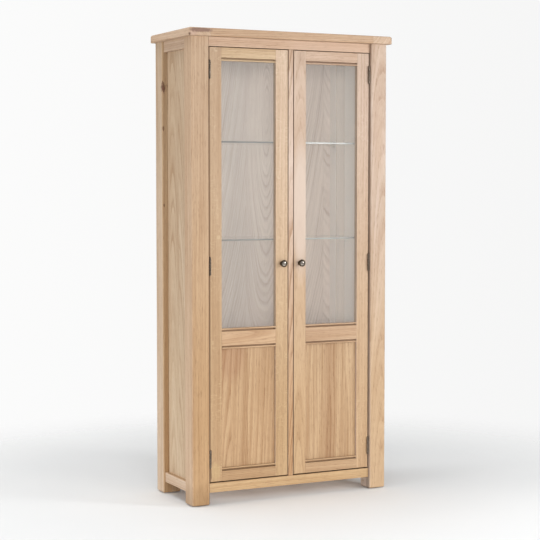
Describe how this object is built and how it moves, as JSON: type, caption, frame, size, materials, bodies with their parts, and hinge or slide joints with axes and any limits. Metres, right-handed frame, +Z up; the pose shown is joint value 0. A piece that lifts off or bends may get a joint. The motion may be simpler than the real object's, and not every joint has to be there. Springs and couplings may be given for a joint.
{
  "type": "glazed display cabinet",
  "caption": "Tall freestanding oak cabinet on square legs, with a pair of hinged doors glazed above and panelled below, glass shelves behind the panes and a lipped top.",
  "frame": {"origin": "on the floor, under the middle of the top board", "axes": "+Z up, -Y out of the doors, +X to the right of someone who faces the doors"},
  "size_m": [0.922, 0.41, 1.9],
  "materials": {
    "oak": "light natural oak, matt lacquer",
    "oak_veneer": "light oak veneer, matt",
    "inner_wood": "plain sanded wood",
    "glass": "clear float glass",
    "shelf_glass": "clear glass with ground edges",
    "hinge_metal": "antique bronze",
    "knob_metal": "antique pewter",
    "screws": "browned steel",
    "nickel": "nickel plated",
    "catches": "brown moulded plastic",
    "glides": "pale moulded plastic"
  },
  "bodies": {
    "root": {"top_panel": "oak", "left_top_cleat": "oak", "right_top_cleat": "oak", "front_left_leg": "oak", "front_right_leg": "oak", "rear_left_leg": "oak", "rear_right_leg": "oak", "foot_glides": "glides", "frieze_rail": "oak", "front_bottom_rail": "oak", "centre_mullion": "oak", "left_side_top_rail": "oak", "left_side_bottom_rail": "oak", "left_side_panel": "oak", "right_side_top_rail": "oak", "right_side_bottom_rail": "oak", "right_side_panel": "oak", "rear_top_rail": "oak", "rear_bottom_rail": "oak", "back_panel": "oak_veneer", "bottom_board": "oak", "fixed_shelf": "oak", "lower_shelf": "oak", "lower_glass_shelf": "shelf_glass", "upper_glass_shelf": "shelf_glass", "shelf_battens": "inner_wood", "shelf_supports": "nickel", "hinge_frame_leaves": "hinge_metal", "frame_screws": "screws", "magnetic_catches": "catches", "top_fixing_blocks": "inner_wood", "top_fixing_screws": "screws"},
    "left_door": {"left_hinge_door_leaves": "hinge_metal", "left_hinge_pins": "hinge_metal", "left_door_screws": "screws", "left_door_hinge_stile": "oak", "left_door_meeting_stile": "oak", "left_door_top_rail": "oak", "left_door_mid_rail": "oak", "left_door_bottom_rail": "oak", "left_door_panel": "oak", "left_door_glass": "glass", "left_door_glazing_beads": "oak", "left_door_knob": "knob_metal", "left_door_knob_screw": "screws", "left_strike_plate": "nickel"},
    "right_door": {"right_hinge_door_leaves": "hinge_metal", "right_hinge_pins": "hinge_metal", "right_door_screws": "screws", "right_door_hinge_stile": "oak", "right_door_meeting_stile": "oak", "right_door_top_rail": "oak", "right_door_mid_rail": "oak", "right_door_bottom_rail": "oak", "right_door_panel": "oak", "right_door_glass": "glass", "right_door_glazing_beads": "oak", "right_door_knob": "knob_metal", "right_door_knob_screw": "screws", "right_strike_plate": "nickel"}
  },
  "joints": [
    {"name": "left_door_hinge", "type": "hinge", "parent": "root", "child": "left_door", "pos_m": [-0.3632, -0.1788, 0.963], "axis": [0, 0, -1], "range_deg": [0, 110]},
    {"name": "right_door_hinge", "type": "hinge", "parent": "root", "child": "right_door", "pos_m": [0.3632, -0.1788, 0.963], "axis": [0, 0, 1], "range_deg": [0, 110]}
  ]
}
